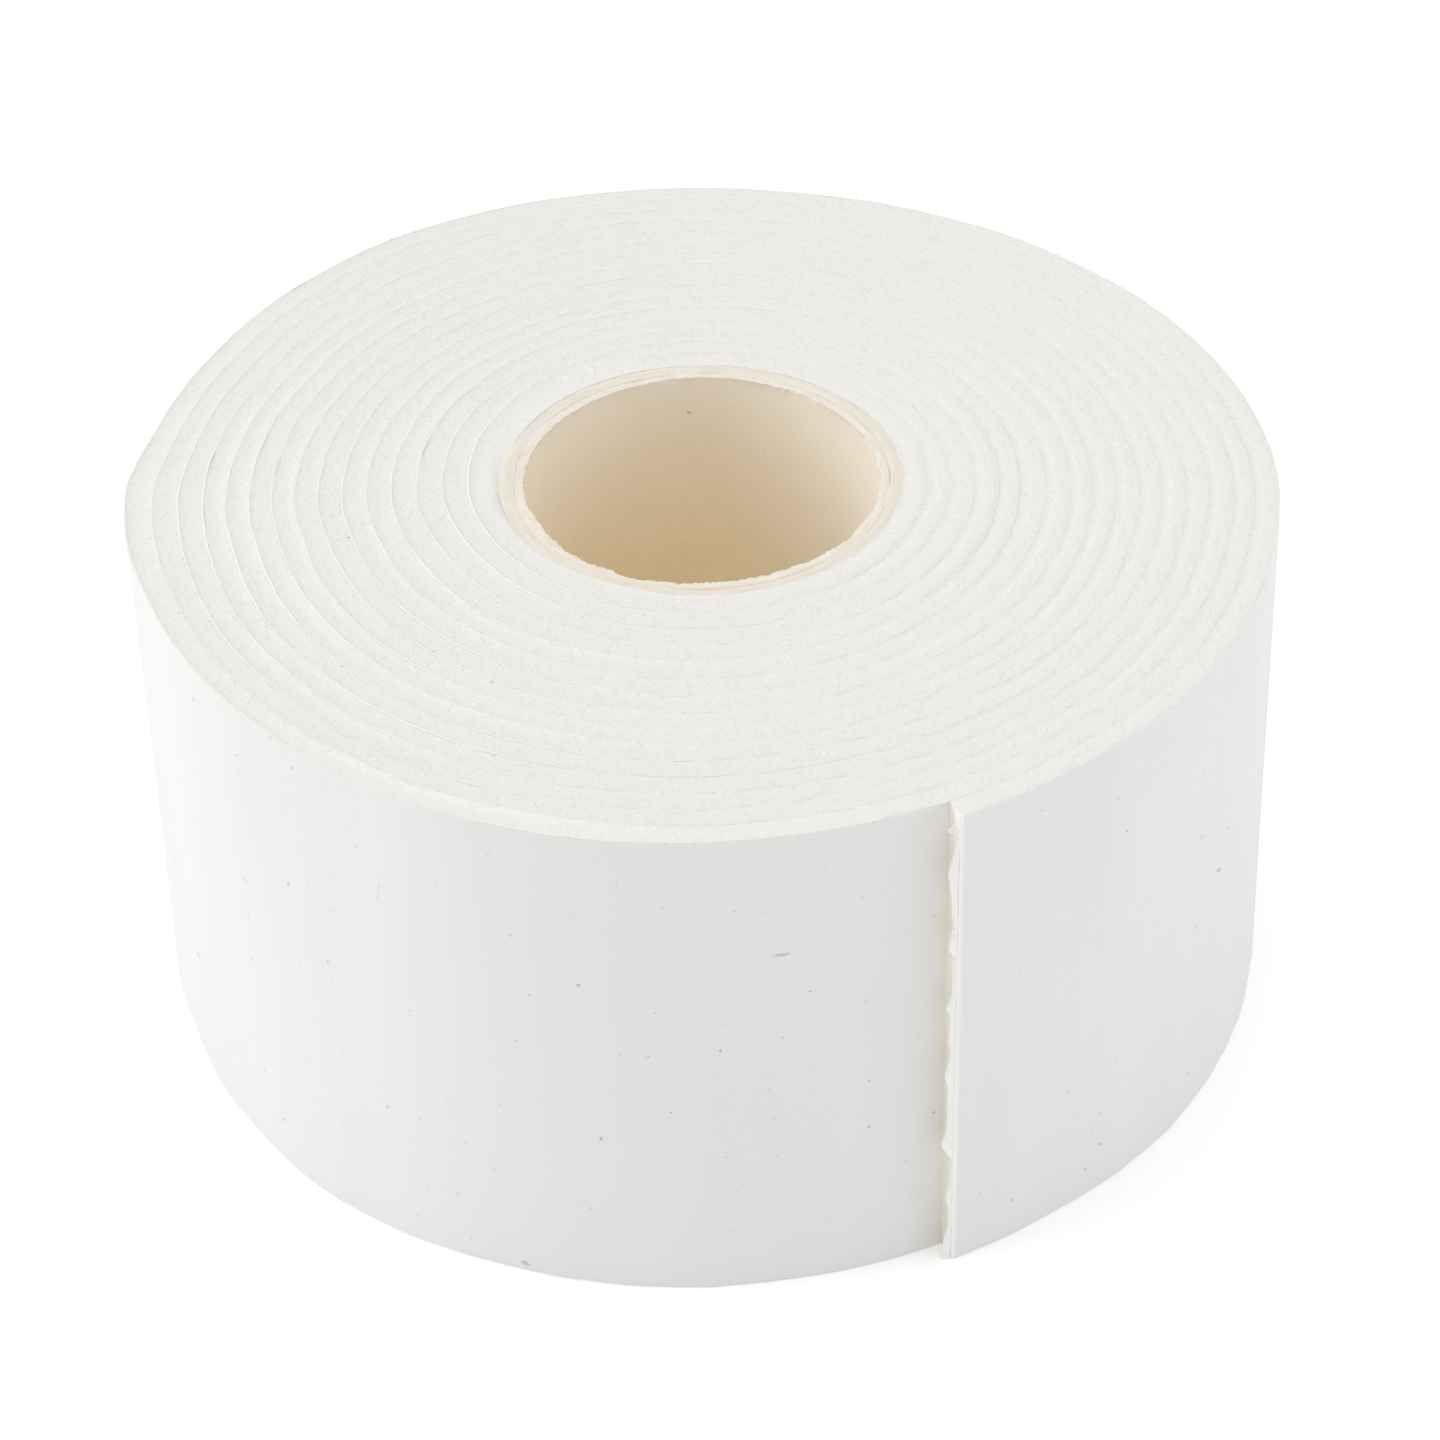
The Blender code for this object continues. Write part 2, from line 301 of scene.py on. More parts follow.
# ------------------------------------------------------------------ materials
class Nodes:
    """A small helper that builds node trees."""

    def __init__(self, name):
        self.mat = bpy.data.materials.new(name)
        self.mat.use_nodes = True
        self.tree = self.mat.node_tree
        self.shader = self.tree.nodes["Principled BSDF"]

    def new(self, kind, **values):
        node = self.tree.nodes.new(kind)
        for key, value in values.items():
            setattr(node, key, value)
        return node

    def link(self, a, b):
        self.tree.links.new(a, b)

    def put(self, socket, value):
        if isinstance(value, bpy.types.NodeSocket):
            self.link(value, socket)
        elif value is not None:
            socket.default_value = value

    def math(self, op, a, b=None, clamp=False):
        node = self.new("ShaderNodeMath", operation=op, use_clamp=clamp)
        self.put(node.inputs[0], a)
        self.put(node.inputs[1], b)
        return node.outputs[0]

    def noise(self, vector, scale, detail=2.0, rough=0.5, distortion=0.0):
        node = self.new("ShaderNodeTexNoise", noise_dimensions="3D")
        self.link(vector, node.inputs["Vector"])
        node.inputs["Scale"].default_value = scale
        node.inputs["Detail"].default_value = detail
        node.inputs["Roughness"].default_value = rough
        node.inputs["Distortion"].default_value = distortion
        return node.outputs["Fac"]

    def ramp(self, fac, stops):
        node = self.new("ShaderNodeValToRGB")
        self.link(fac, node.inputs["Fac"])
        ramp = node.color_ramp
        while len(ramp.elements) < len(stops):
            ramp.elements.new(0.5)
        for element, (pos, colour) in zip(ramp.elements, stops):
            element.position = pos
            element.color = (*colour, 1.0) if len(colour) == 3 else colour
        return node.outputs["Color"]

    def grey(self, fac, lo, hi, a=0.0, b=1.0):
        node = self.new("ShaderNodeMapRange", clamp=True)
        self.put(node.inputs["Value"], fac)
        node.inputs["From Min"].default_value = lo
        node.inputs["From Max"].default_value = hi
        node.inputs["To Min"].default_value = a
        node.inputs["To Max"].default_value = b
        return node.outputs["Result"]

    def mix(self, fac, a, b, blend="MIX"):
        node = self.new("ShaderNodeMix", data_type="RGBA", blend_type=blend)
        self.put(node.inputs["Factor"], fac)
        self.put(node.inputs[6], a if isinstance(a, bpy.types.NodeSocket) else (*a, 1.0))
        self.put(node.inputs[7], b if isinstance(b, bpy.types.NodeSocket) else (*b, 1.0))
        return node.outputs[2]

    def scaled(self, vector, scale, offset=(0, 0, 0)):
        node = self.new("ShaderNodeMapping")
        self.link(vector, node.inputs["Vector"])
        node.inputs["Scale"].default_value = scale
        node.inputs["Location"].default_value = offset
        return node.outputs["Vector"]

    def strip(self):
        return self.new("ShaderNodeAttribute", attribute_name="strip").outputs["Vector"]

    def object_space(self):
        return self.new("ShaderNodeTexCoord").outputs["Object"]

    def marks(self):
        parts = self.new("ShaderNodeSeparateXYZ")
        self.link(self.new("ShaderNodeAttribute", attribute_name="marks").outputs["Vector"],
                  parts.inputs[0])
        return parts.outputs

    def flat(self, vector, a, b, scale=(1.0, 1.0), offset=(0.0, 0.0)):
        """Two of a vector's coordinates, as a flat one."""
        parts, joined = self.new("ShaderNodeSeparateXYZ"), self.new("ShaderNodeCombineXYZ")
        self.link(vector, parts.inputs[0])
        for i, axis in enumerate((a, b)):
            value = self.math("MULTIPLY_ADD", parts.outputs[axis], scale[i])
            value.node.inputs[2].default_value = offset[i]
            self.link(value, joined.inputs[i])
        return joined.outputs[0]

    def facing_up(self):
        parts = self.new("ShaderNodeSeparateXYZ")
        self.link(self.new("ShaderNodeNewGeometry").outputs["Normal"], parts.inputs[0])
        return self.grey(parts.outputs[2], 0.6, 0.8)

    def specks(self, flat, cell, radius, share, wobble_scale=None):
        """Sparse small dots: one in `share` of the flat cells of size `cell`."""
        voronoi = self.new("ShaderNodeTexVoronoi", feature="F1",
                           voronoi_dimensions="2D")
        wobble = self.noise(flat, wobble_scale or 0.7 / radius, 2.0)
        self.link(flat, voronoi.inputs["Vector"])
        voronoi.inputs["Scale"].default_value = 1.0 / cell
        voronoi.inputs["Randomness"].default_value = 0.9
        pick = self.new("ShaderNodeSeparateColor")
        self.link(voronoi.outputs["Color"], pick.inputs["Color"])
        chosen = self.math("GREATER_THAN", pick.outputs[0], 1.0 - share)
        size = self.math("MULTIPLY", self.math("ADD", pick.outputs[1], 0.30),
                         self.math("MULTIPLY_ADD", wobble, 2.2))
        size.node.inputs[1].links[0].from_node.inputs[2].default_value = -0.2
        reach = self.math("MULTIPLY", size, radius / cell)
        dot = self.math("SUBTRACT", reach, voronoi.outputs["Distance"])
        dot = self.grey(dot, 0.0, 0.35 * radius / cell)
        return self.math("MULTIPLY", dot, chosen)

    def bumps(self, *layers):
        """layers: (height socket, strength, distance in metres)."""
        normal = None
        for height, strength, distance in layers:
            node = self.new("ShaderNodeBump")
            node.inputs["Strength"].default_value = strength
            node.inputs["Distance"].default_value = distance
            self.link(height, node.inputs["Height"])
            if normal is not None:
                self.link(normal, node.inputs["Normal"])
            normal = node.outputs["Normal"]
        self.link(normal, self.shader.inputs["Normal"])

    def set(self, **values):
        for key, value in values.items():
            self.put(self.shader.inputs[key.replace("_", " ")], value)


def foam_material():
    m = Nodes("foam_cut_edge")
    v = m.strip()
    marks = m.marks()
    grain = m.noise(v, 5200.0, 2.0, 0.65)
    cells = m.noise(v, 1700.0, 3.0, 0.7, 0.6)
    lumps = m.noise(v, 1000.0, 2.0, 0.55, 0.4)
    cloud = m.noise(v, 210.0, 2.0, 0.5)
    colour = m.ramp(grain, [(0.28, (0.803, 0.795, 0.760)), (0.50, (0.845, 0.837, 0.801)),
                            (0.74, (0.883, 0.875, 0.841))])
    tint = m.ramp(cloud, [(0.35, (0.992, 0.993, 0.995)), (0.65, (1.0, 0.998, 0.994))])
    colour = m.mix(1.0, colour, tint, "MULTIPLY")
    up = m.facing_up()
    top = m.flat(v, 0, 1)
    dots = m.math("MULTIPLY", m.specks(top, 0.0130, 0.00013, 0.12), up)
    flecks = m.math("MULTIPLY", m.specks(m.flat(v, 0, 1, (0.45, 1.0), (3.3, 1.7)), 0.0105, 0.00016, 0.08), up)
    bits = m.math("MULTIPLY", m.specks(m.flat(v, 0, 1, (1.0, 1.0), (2.1, 5.3)), 0.0019, 0.00021, 0.50), up)
    # darker small dots: painted shade in pits of the foam
    painted_pit_shade = m.math("MULTIPLY", m.specks(m.flat(v, 0, 1, (1.0, 1.0), (6.7, 0.9)), 0.0021, 0.00019, 0.45), up)
    colour = m.mix(m.math("MULTIPLY", painted_pit_shade, 0.30), colour, (0.750, 0.740, 0.695))
    colour = m.mix(m.math("MULTIPLY", bits, 0.50), colour, (0.945, 0.938, 0.905))
    # warm tint: slight on the outermost turn; on the tail's end face partly adhesive stain, partly painted shade
    colour = m.mix(marks[0], colour, (0.915, 0.865, 0.735))
    colour = m.mix(marks[1], colour, (0.70, 0.69, 0.53))
    # painted shade where the marks' third value is positive, painted highlight where it is negative
    colour = m.mix(m.grey(marks[2], 0.0, 1.0), colour, (0.765, 0.752, 0.708))
    colour = m.mix(m.grey(marks[2], 0.0, -1.0), colour, (0.932, 0.924, 0.896))
    colour = m.mix(m.math("MULTIPLY", flecks, 0.35), colour, (0.45, 0.46, 0.27))
    colour = m.mix(m.math("MULTIPLY", dots, 0.85), colour, (0.10, 0.085, 0.06))
    m.link(colour, m.shader.inputs["Base Color"])
    m.put(m.shader.inputs["Roughness"], m.grey(grain, 0.3, 0.7, 0.98, 0.86))
    m.set(Specular_IOR_Level=0.28, Metallic=0.0)
    m.bumps((bits, 0.45, 0.00010), (lumps, 0.50, 0.00030), (cells, 0.70, 0.00012), (grain, 0.40, 0.00006))
    return m.mat


def liner_material():
    m = Nodes("release_liner")
    v = m.strip()
    marks = m.marks()
    slow = m.noise(m.scaled(v, (90.0, 90.0, 22.0)), 1.0, 2.0, 0.5)
    fine = m.noise(v, 1700.0, 2.0, 0.5)
    grain = m.noise(v, 5200.0, 2.0, 0.65)
    warm = m.ramp(slow, [(0.3, (0.777, 0.770, 0.758)), (0.7, (0.796, 0.790, 0.780))])
    plain = m.ramp(slow, [(0.3, (0.771, 0.771, 0.771)), (0.7, (0.789, 0.789, 0.789))])
    colour = m.mix(marks[0], warm, plain)
    wall = m.flat(v, 0, 2)
    dots = m.specks(wall, 0.0045, 0.00012, 0.38)
    faint = m.specks(m.flat(v, 0, 2, (1.0, 1.0), (7.1, 3.3)), 0.0030, 0.00010, 0.50)
    bent = m.new("ShaderNodeVectorMath", operation="ADD")
    wander = m.new("ShaderNodeTexNoise", noise_dimensions="3D")
    m.link(wall, wander.inputs["Vector"])
    wander.inputs["Scale"].default_value = 420.0
    shift = m.new("ShaderNodeVectorMath", operation="SCALE")
    m.link(wander.outputs["Color"], shift.inputs[0])
    shift.inputs["Scale"].default_value = 0.0016
    m.link(m.flat(v, 0, 2, (0.28, 1.0), (5.0, 2.0)), bent.inputs[0])
    m.link(shift.outputs[0], bent.inputs[1])
    hairs = m.specks(bent.outputs[0], 0.0047, 0.00012, 0.52)
    bent_up = m.new("ShaderNodeVectorMath", operation="ADD")
    m.link(m.flat(v, 0, 2, (1.0, 0.22), (1.3, 4.0)), bent_up.inputs[0])
    m.link(shift.outputs[0], bent_up.inputs[1])
    upright = m.specks(bent_up.outputs[0], 0.0075, 0.00011, 0.30)
    colour = m.mix(m.math("MULTIPLY", hairs, 0.50), colour, (0.30, 0.28, 0.25))
    colour = m.mix(m.math("MULTIPLY", upright, 0.40), colour, (0.34, 0.33, 0.30))
    colour = m.mix(m.math("MULTIPLY", faint, 0.28), colour, (0.34, 0.31, 0.25))
    colour = m.mix(m.math("MULTIPLY", dots, 0.52), colour, (0.17, 0.15, 0.12))
    # the cut edge: foam dust covers it; where it stands clear it is painted white, partly its own bare white and
    # partly a painted highlight on the raised edges, strongest on the left
    dusty = m.ramp(grain, [(0.28, (0.780, 0.772, 0.737)), (0.50, (0.835, 0.827, 0.791)),
                           (0.74, (0.884, 0.876, 0.842))])
    edge = m.mix(marks[1], dusty, (0.955, 0.948, 0.920))
    colour = m.mix(m.facing_up(), colour, edge)
    # painted warm shade, partly adhesive stain, where the marks' third value is positive
    colour = m.mix(m.grey(marks[2], 0.0, 1.0), colour, (0.915, 0.875, 0.765))
    # painted highlight where the marks' third value is negative
    colour = m.mix(m.grey(marks[2], 0.0, -1.0), colour, (0.945, 0.943, 0.930))
    m.link(colour, m.shader.inputs["Base Color"])
    rough = m.grey(slow, 0.3, 0.7, 0.47, 0.38)
    m.put(m.shader.inputs["Roughness"], m.math("MAXIMUM", rough, m.math("MULTIPLY", m.facing_up(), 0.9)))
    m.set(Specular_IOR_Level=0.45, Metallic=0.0)
    m.bumps((slow, 0.35, 0.00030), (fine, 0.12, 0.00004))
    return m.mat


def adhesive_material():
    m = Nodes("adhesive_coat")
    v = m.object_space()
    rough = m.noise(v, 900.0, 2.0, 0.5)
    colour = m.ramp(rough, [(0.3, (0.875, 0.835, 0.735)), (0.7, (0.90, 0.87, 0.79))])
    m.link(colour, m.shader.inputs["Base Color"])
    m.put(m.shader.inputs["Roughness"], m.grey(rough, 0.3, 0.7, 0.30, 0.45))
    m.set(Specular_IOR_Level=0.5)
    m.bumps((rough, 0.4, 0.00006))
    return m.mat


def paper_material(name, light, mid, dark, painted_light_upper, rim, pale, bump_strength=0.5, painted_light_right=None):
    m = Nodes(name)
    v = m.object_space()
    marks = m.marks()
    grain = m.noise(m.scaled(v, (420.0, 420.0, 1500.0)), 1.0, 3.0, 0.6)
    mottle = m.noise(v, 170.0, 3.0, 0.6)
    fibre = m.noise(v, 2800.0, 2.0, 0.6, 0.8)
    colour = m.ramp(grain, [(0.28, dark), (0.5, mid), (0.75, light)])
    tint = m.ramp(mottle, [(0.3, (0.985, 0.980, 0.968)), (0.7, (1.0, 1.0, 1.0))])
    colour = m.mix(1.0, colour, tint, "MULTIPLY")
    ring = m.new("ShaderNodeSeparateXYZ")
    m.link(v, ring.inputs[0])
    # painted light: paler and lighter towards the top of the bore, darker deeper down
    colour = m.mix(m.grey(ring.outputs[2], 0.018, 0.0365), colour, painted_light_upper)
    axis = m.new("ShaderNodeSeparateXYZ")
    m.link(m.scaled(v, (1.0, 1.0, 1.0), (-CORE_AXIS[0], -CORE_AXIS[1], 0.0)), axis.inputs[0])
    turn = m.math("ARCTAN2", axis.outputs[1], axis.outputs[0])
    # painted light: the bore's right side paler and lighter
    if painted_light_right is not None:
        right_side = m.grey(m.math("COSINE", m.math("ADD", turn, -0.15)), 0.25, 1.0, 0.0, 0.8)
        colour = m.mix(right_side, colour, painted_light_right)
    squares = m.math("ADD", m.math("MULTIPLY", axis.outputs[0], axis.outputs[0]),
                     m.math("MULTIPLY", axis.outputs[1], axis.outputs[1]))
    radius = m.math("SQRT", squares)
    plies = m.new("ShaderNodeCombineXYZ")
    m.link(m.math("MULTIPLY", radius, 5200.0), plies.inputs[0])
    m.link(m.math("MULTIPLY", m.math("COSINE", turn), 7.0), plies.inputs[1])
    m.link(m.math("MULTIPLY", m.math("SINE", turn), 7.0), plies.inputs[2])
    streaks = m.noise(plies.outputs[0], 1.0, 2.0, 0.55)
    layered = m.mix(m.grey(streaks, 0.30, 0.70), rim, pale)
    colour = m.mix(m.facing_up(), colour, layered)
    colour = m.mix(marks[0], colour, pale)
    unrolled = m.new("ShaderNodeCombineXYZ")
    m.link(m.math("MULTIPLY", turn, 0.0122), unrolled.inputs[0])
    m.link(ring.outputs[2], unrolled.inputs[1])
    dots = m.specks(unrolled.outputs[0], 0.0052, 0.00014, 0.16)
    colour = m.mix(m.math("MULTIPLY", dots, 0.55), colour, (0.30, 0.20, 0.10))
    m.link(colour, m.shader.inputs["Base Color"])
    m.put(m.shader.inputs["Roughness"], m.grey(fibre, 0.3, 0.7, 0.95, 0.80))
    m.set(Specular_IOR_Level=0.22)
    m.bumps((grain, 0.16 * bump_strength, 0.0001), (fibre, bump_strength, 0.00006))
    return m.mat


FOAM = foam_material()
LINER = liner_material()
GLUE = adhesive_material()
PLY_IN = paper_material("core_facing_paper", (0.995, 0.872, 0.634), (0.990, 0.849, 0.596),
                        (0.982, 0.824, 0.562), (0.997, 0.914, 0.784), (0.800, 0.720, 0.584),
                        (0.880, 0.850, 0.788), painted_light_right=(1.0, 0.960, 0.885))
PLY_OUT = paper_material("core_board", (0.875, 0.815, 0.725), (0.850, 0.785, 0.690),
                         (0.820, 0.745, 0.640), (0.860, 0.800, 0.710), (0.795, 0.720, 0.598),
                         (0.846, 0.810, 0.746), 0.7)


def paint(obj, mat):
    obj.data.materials.clear()
    obj.data.materials.append(mat)
    return obj


# -------------------------------------------------------------- the foam strip
FOAM_TOP = WIDTH - 0.00007


def foam_surface(back, share, rise):
    """Foam at a fraction of its width: rise 0 is the bottom, 1 the top. The cut ends are granular, and each turn
    drops a little towards the one inside it. Also gives the colour marks: warm (a slight tint on the outermost
    turn), olive, and a painted light-and-shade value: painted shade in the sunk wedge, the grooves and beside the
    seams, painted highlight on the shoulders and crests, and lighter or darker by direction round the roll."""
    x, y = plan(back, share)
    theta = TAIL_END_ANGLE + back
    s = along(back)
    ridge = seam_strength(theta) * (0.75 + 0.45 * noise3(s * 90, 0, 0.5, 31))
    groove = (groove_strength(theta) * (0.8 + 0.7 * noise3(s * 45, 0, 3.5, 32))
              * (0.50 + 0.75 * smooth(noise3(s * 17, 1.0, 4.5, 38), -0.5, 0.5)))
    cross = (share - FOAM_IN) / (FOAM_OUT - FOAM_IN)
    to_inner = np.clip(1.0 - cross / 0.42, 0, 1) ** 2
    to_outer = np.clip(1.0 - (1.0 - cross) / 0.22, 0, 1) ** 2
    crack = (smooth(noise3(s * 300, 4.0, 0.0, 33), 0.50, 0.80)
             * smooth(noise3(s * 31, 9.0, 0.0, 34), 0.30, 0.62)
             * bump(theta, RAD(158), RAD(45)))
    wound = TOTAL - back
    filled = np.where(wound < TAU, np.clip((outer_build(np.maximum(wound, 0.0)) - 1.0
                      - 1.25 * np.maximum(cross, 0.0)) / 0.22, 0, 1), 0.0)
    sunk = filled * bump(theta, RAD(198), RAD(56))
    uneven = 0.35 + 0.95 * smooth(noise3(s * 48, 2.0, 6.5, 35), -0.7, 0.7)
    beyond = 1.0 - smooth(cross, 0.0, 0.30 + 0.35 * smooth(noise3(s * 26, 5.0, 2.5, 36), -0.6, 0.6))
    swell = shoulder_strength(theta)
    shoulder = swell * uneven * beyond
    climb = swell * np.clip(1.0 - (1.0 - cross) / 0.34, 0, 1) ** 1.6
    drop = ((0.000006 + 0.000048 * groove) * to_inner - 0.000052 * shoulder - 0.000042 * climb
            + (0.000004 + 0.000050 * groove + 0.00007 * crack) * to_outer
            + 0.00034 * sunk)
    level = (0.00005 * noise3(x * 180, y * 180, 0.3, 21)
             + 0.000016 * noise3(s * 700, share * PITCH * 700, 0.0, 22)
             + 0.000013 * noise3(s * 2100, share * PITCH * 2100, 0.0, 23))
    top = FOAM_TOP - drop + level
    bottom = 0.00002 + 0.6 * np.maximum(drop, 0.0) + 0.00002 * noise3(s * 900, share * PITCH * 900, 2.0, 24)
    z = bottom + (top - bottom) * rise
    near_top = np.clip((rise - 0.985) / 0.015, 0, 1) ** 2
    near_bottom = np.clip((0.015 - rise) / 0.015, 0, 1) ** 2
    tucked = ((FOAM_OUT - GLUE_IN - 0.003) * (1.0 - smooth(back, RAD(21.3), RAD(24.0))) * cross
              * smooth(back, RAD(0.20), RAD(0.55)) * (1.0 - smooth(rise, 0.985, 0.994)))
    pull = -near_bottom * 0.03 * (cross - 0.5) * 2.0 - tucked
    x, y = plan(back, share + pull)
    k = 1.0 + skin_offset(back, z) * np.clip(cross, 0, 1) / np.hypot(x, y)
    x, y = x * k, y * k
    olive = np.clip(crack * to_outer * 1.1, 0, 0.5) * near_top
    outermost = 1.0 - smooth(back, RAD(350), RAD(372))
    # painted light and shade on the top face: positive values paint shade (sunk wedge, groove edges, beside the
    # seams, the back-left), negative values paint highlight (seam shoulders, crests on the right, the front)
    painted_light_and_shade = (0.8 * sunk + 0.26 * np.clip(climb, 0, 1)
            + 0.66 * groove * np.maximum(np.clip(1.0 - cross / 0.30, 0, 1) ** 2, to_outer)
            - 0.42 * np.clip(shoulder, 0, 1)
            - 0.24 * outermost * bump(theta, RAD(-105), RAD(80))
            - 0.34 * uneven * bump(theta, RAD(-12), RAD(84)) * np.clip(1.0 - np.abs(cross - 0.30) / 0.20, 0, 1)
            - 0.18 * bump(theta, RAD(-5), RAD(105)) + 0.14 * bump(theta, RAD(128), RAD(50))) * near_top
    marks = np.stack([0.05 * outermost + np.zeros_like(z), olive, painted_light_and_shade], 1)
    return x, y, z, s, marks


def foam_place(near_edge=None):
    def place(u, v, w):
        back = u
        if near_edge is not None:
            back = near_edge(u, v, w)
        x, y, z, s, marks = foam_surface(back, v, w)
        if near_edge is not None:
            cross = (v - FOAM_IN) / (FOAM_OUT - FOAM_IN)
            patchy = 0.46 + 0.34 * noise3(z * 330, cross * 2, 0, 64)
            # the tail's end face: a warm colour that is partly adhesive stain and partly painted shade with warm
            # bounce light
            marks[:, 0] = (patchy * smooth(u, RAD(1.0), 0.0) * (1.0 - smooth(cross, 0.45, 0.85))
                           * (1.0 - 0.8 * smooth(z, 0.0366, 0.0378)))
            # painted highlight on the end face's outer fringe beside the liner
            marks[:, 2] -= 0.95 * smooth(cross, 0.42, 0.80) * smooth(u, RAD(1.0), 0.0)
        return np.stack([x, y, z], 1), np.stack([s, v * PITCH, z], 1), marks
    return place


FOAM_SHARES = np.array([0.0, 0.05, 0.13, 0.27, 0.42, 0.58, 0.73, 0.87, 0.95, 1.0])
FOAM_SHARES = FOAM_IN + FOAM_SHARES * (FOAM_OUT - FOAM_IN)
FOAM_RISES = np.array([0.0, 0.006, 0.015, 0.5, 0.985, 0.994, 1.0])


def even_backs(start, end, step):
    """Values of `back` between two limits, evenly spaced in length."""
    a, b = along(start), along(end)
    n = max(2, int(math.ceil(abs(b - a) / step)) + 1)
    return np.interp(np.linspace(a, b, n), _s, _b)


TAIL = RAD(72.0)
HALF = RAD(6.0)
wound_backs = np.sort(np.concatenate([
    even_backs(TAIL + HALF, TOTAL, 0.00052), [TOTAL + RAD(0.5)],
    TOTAL - TAU + np.array([RAD(0.04), -RAD(0.04)])]))
foam_roll = box_grid("foam_wound_turns", wound_backs,
                     FOAM_SHARES, FOAM_RISES, foam_place())
paint(foam_roll, FOAM)
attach(foam_roll, "roll")
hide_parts("foam_winding")


# ------------------------------------------------------------ the release liner
def liner_surface(back, share, rise, plain=0.0):
    theta = TAIL_END_ANGLE + back
    s = along(back)
    ridge = seam_strength(theta) * (0.85 + 0.35 * noise3(s * 60, 7.0, 0.5, 41))
    jagged = 1.0 + 0.30 * noise3(s * 850, 0, 1.0, 43) + 0.22 * noise3(s * 2200, 0, 1.5, 45)
    x, y = plan(back, share)
    top = (FOAM_TOP - 0.000008 + 0.000036 * shoulder_strength(theta) + 0.000056 * ridge * jagged
           - 0.000030 * groove_strength(theta) + 0.00005 * noise3(x * 180, y * 180, 0.3, 21))
    lift = 0.00034 * bump(theta, RAD(-112), RAD(17)) * (back > TAIL) * (back < TAIL + TAU)
    bottom = 0.00003 + lift + 0.00002 * noise3(s * 200, 0, 3.0, 44)
    z = bottom + (top - bottom) * rise
    # where the raised liner edge is painted white: partly its own bare white, partly a painted highlight, strongest
    # on the left
    clear = 0.30 + 0.70 * smooth(noise3(s * 210, 3.0, 4.0, 46), -0.55, 0.35)
    marks = np.stack([np.zeros_like(z) + plain, np.clip(1.0 * ridge * clear, 0, 1), np.zeros_like(z)], 1)
    return x, y, z, s, marks


def outer_liner_place(u, v, w):
    """The outermost turn of liner is smooth, a little wavy, and stands off
    the foam on the left."""
    x, y, z, s, marks = liner_surface(u, v, w)
    k = 1.0 + skin_offset(u, z) / np.hypot(x, y)
    pos = np.stack([x * k, y * k, z], 1)
    marks[:, 0] = 1.0 - smooth(u, TAIL, TAIL + RAD(40))
    # left of the tail's step: painted warm shade for the step's occlusion and bounce light, partly adhesive stain
    marks[:, 2] = ((0.62 * smooth(u, TAU - RAD(1.7), TAU - RAD(0.1)) * (0.85 + 0.35 * noise3(z * 300, 0, 0, 47))
                    + 0.12 * smooth(u, TAU - RAD(4.5), TAU)) * (1.0 - smooth(u, TAU, TAU + RAD(1.0)))
                   * (1.0 - 0.55 * smooth(w, 0.985, 0.996)))
    return pos, np.stack([s, v * PITCH, z], 1), marks


LINER_SHARES = np.array([LINER_IN, 0.5 * (LINER_IN + LINER_OUT), LINER_OUT])
OUTER_RISES = np.concatenate([[0.0, 0.004], np.linspace(0.012, 0.988, 58), [0.996, 1.0]])
liner_outer = box_grid("liner_outer_turn", even_backs(TAIL + HALF, TAIL + TAU + RAD(16), 0.00085),
                       LINER_SHARES, OUTER_RISES, outer_liner_place)
paint(liner_outer, LINER)
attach(liner_outer, "roll")
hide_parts("liner_winding")


def inner_liner_place(u, v, w):
    x, y, z, s, marks = liner_surface(u, v, w)
    return np.stack([x, y, z], 1), np.stack([s, v * PITCH, z], 1), marks


liner_inner = box_grid("liner_wound_turns", even_backs(TAIL + TAU + RAD(16), TOTAL, 0.00065),
                       LINER_SHARES, np.array([0.0, 0.01, 0.5, 0.99, 1.0]), inner_liner_place)
paint(liner_inner, LINER)
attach(liner_inner, "roll")
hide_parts("liner_winding")

# --------------------------------------------------------------------- the tail
# Pieces reach from the middle of one link to the middle of the next, so that every hinge line lies inside a piece.
HINGE = [RAD(a) for a in (72.0, 60.0, 48.0, 36.0, 24.0)]


def point_at(back, share=0.95):
    x, y = plan(np.array([back]), np.array([share]))
    return (float(x[0]), float(y[0]), WIDTH / 2)


def foam_end(u, v, w):
    """The foam's free end is cut with the liner, and a little ragged."""
    z = w * WIDTH
    cross = np.clip((v - FOAM_IN) / (FOAM_OUT - FOAM_IN), 0, 1)
    tuft = np.clip(noise3(z * 1000, cross * 1.5, 0.0, 61), 0, 1) ** 2
    ragged = np.maximum(0.55 + 0.85 * noise3(z * 360, cross * 0.9, 0, 62)
                        + 0.30 * noise3(z * 1300, cross * 2, 0, 63) + 0.9 * tuft, 0.05)
    scallop = (z + 0.0009 * noise3(z * 95, 0.0, 0.0, 66)) / 0.0057
    ragged = ragged + 1.5 * (1.0 - np.abs(np.sin(math.pi * scallop))) ** 1.5
    fringe = smooth(cross, 0.40, 0.80) * (1.0 - 0.60 * smooth(cross, 0.88, 1.0))
    hollow = np.sin(np.clip(cross / 0.75, 0, 1) * math.pi)
    reach = -(0.00026 * ragged * fringe - 0.00008 * hollow
              + 0.00004 * noise3(z * 700, cross * 3, 0, 65)) / ROLL_RADIUS
    return u + reach * smooth(u, RAD(4.0), 0.0)


